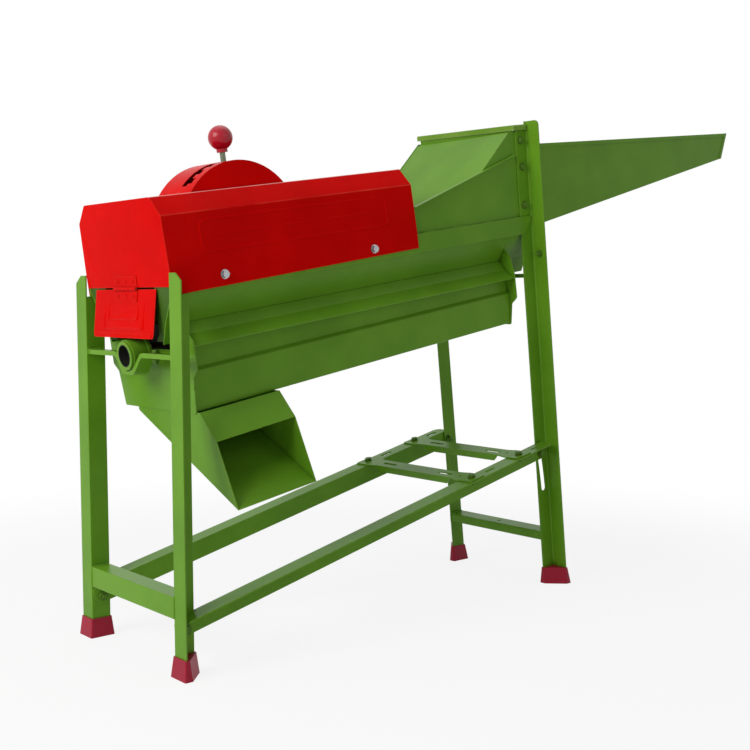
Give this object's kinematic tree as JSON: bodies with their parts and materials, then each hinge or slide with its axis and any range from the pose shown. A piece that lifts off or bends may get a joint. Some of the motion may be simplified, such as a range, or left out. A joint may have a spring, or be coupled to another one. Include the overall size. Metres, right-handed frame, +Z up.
{
  "type": "threshing machine",
  "caption": "Inclined drum maize thresher on angle-iron legs with a folded cover, gate lever, hopper, long feed tray, kernel chute and a hinged motor frame.",
  "frame": {"origin": "middle of the sole of the front-left foot, on the floor", "axes": "+X along the machine towards the feed tray, +Y from the front with the chute's mouth to the back, +Z up"},
  "size_m": [1.7996, 0.4222, 1.1359],
  "materials": {
    "green_paint": "glossy apple-green enamel",
    "red_paint": "glossy bright red enamel",
    "rubber_cap": "smooth crimson rubber",
    "zinc": "zinc plated",
    "painted_bolt": "green enamel with rust on the corners",
    "bare_steel": "turned bright steel",
    "bearing_steel": "ground bearing steel",
    "drum_paint": "dark primer worn on the edges",
    "knob_plastic": "glossy crimson plastic"
  },
  "bodies": {
    "frame": {"bearing_housing_left": "green_paint", "bearing_housing_right": "green_paint", "bearing_left": "bearing_steel", "bearing_right": "bearing_steel", "bearing_strap_left": "green_paint", "bearing_strap_right": "green_paint", "casing_wall_back": "green_paint", "casing_wall_front": "green_paint", "concave_screen": "drum_paint", "cover_bolts": "zinc", "crossbar_left": "green_paint", "crossbar_right": "green_paint", "end_plate_left": "green_paint", "end_plate_right": "green_paint", "feed_tray": "green_paint", "foot_cap_left_back": "rubber_cap", "foot_cap_left_front": "rubber_cap", "foot_cap_right_back": "rubber_cap", "foot_cap_right_front": "rubber_cap", "frame_bolts": "painted_bolt", "gate_bush_back": "red_paint", "gate_bush_front": "red_paint", "hinge_leaf_upper": "red_paint", "hinge_pin": "bare_steel", "hopper_deck": "green_paint", "hopper_hood": "green_paint", "hopper_roof": "green_paint", "hopper_side_back": "green_paint", "hopper_side_front": "green_paint", "kernel_chute": "green_paint", "leg_left_back": "green_paint", "leg_left_front": "green_paint", "leg_right_back": "green_paint", "leg_right_front": "green_paint", "notched_quadrant": "red_paint", "outlet_jambs": "green_paint", "side_rail_back": "green_paint", "side_rail_front": "green_paint", "side_skirt_back": "green_paint", "side_skirt_front": "green_paint", "top_cover": "red_paint", "trough": "green_paint"},
    "drum": {"drum_shaft": "bare_steel", "drum_tube": "drum_paint", "drum_disc_left": "drum_paint", "drum_disc_right": "drum_paint", "drum_teeth": "drum_paint", "feed_flight": "drum_paint"},
    "flap": {"outlet_flap": "red_paint", "hinge_leaf_lower": "red_paint"},
    "lever": {"gate_lever": "zinc", "lever_knob": "knob_plastic", "gate_spindle": "bare_steel", "gate_plate": "bare_steel"},
    "motor_frame": {"motor_rail_front": "green_paint", "motor_rail_back": "green_paint", "motor_strap_first": "green_paint", "motor_strap_second": "green_paint", "strap_bolts": "painted_bolt", "tension_bolts": "painted_bolt"}
  },
  "joints": [
    {"name": "drum_spin", "type": "hinge", "parent": "frame", "child": "drum", "pos_m": [0.39675, 0.1725, 0.64097], "axis": [0.9889, 0, 0.1487], "continuous": true},
    {"name": "flap_hinge", "type": "hinge", "parent": "frame", "child": "flap", "pos_m": [-0.0095, 0.1725, 0.70549], "axis": [0, 1, 0], "range_deg": [-13.2, 80]},
    {"name": "gate_swing", "type": "hinge", "parent": "frame", "child": "lever", "pos_m": [0.22024, 0.1725, 0.81617], "axis": [0, 1, 0], "range_deg": [-28, 28]},
    {"name": "belt_tension", "type": "hinge", "parent": "frame", "child": "motor_frame", "pos_m": [0.00857, 0.1725, 0.08341], "axis": [0, -1, 0], "range_deg": [-4.5, 0]}
  ]
}
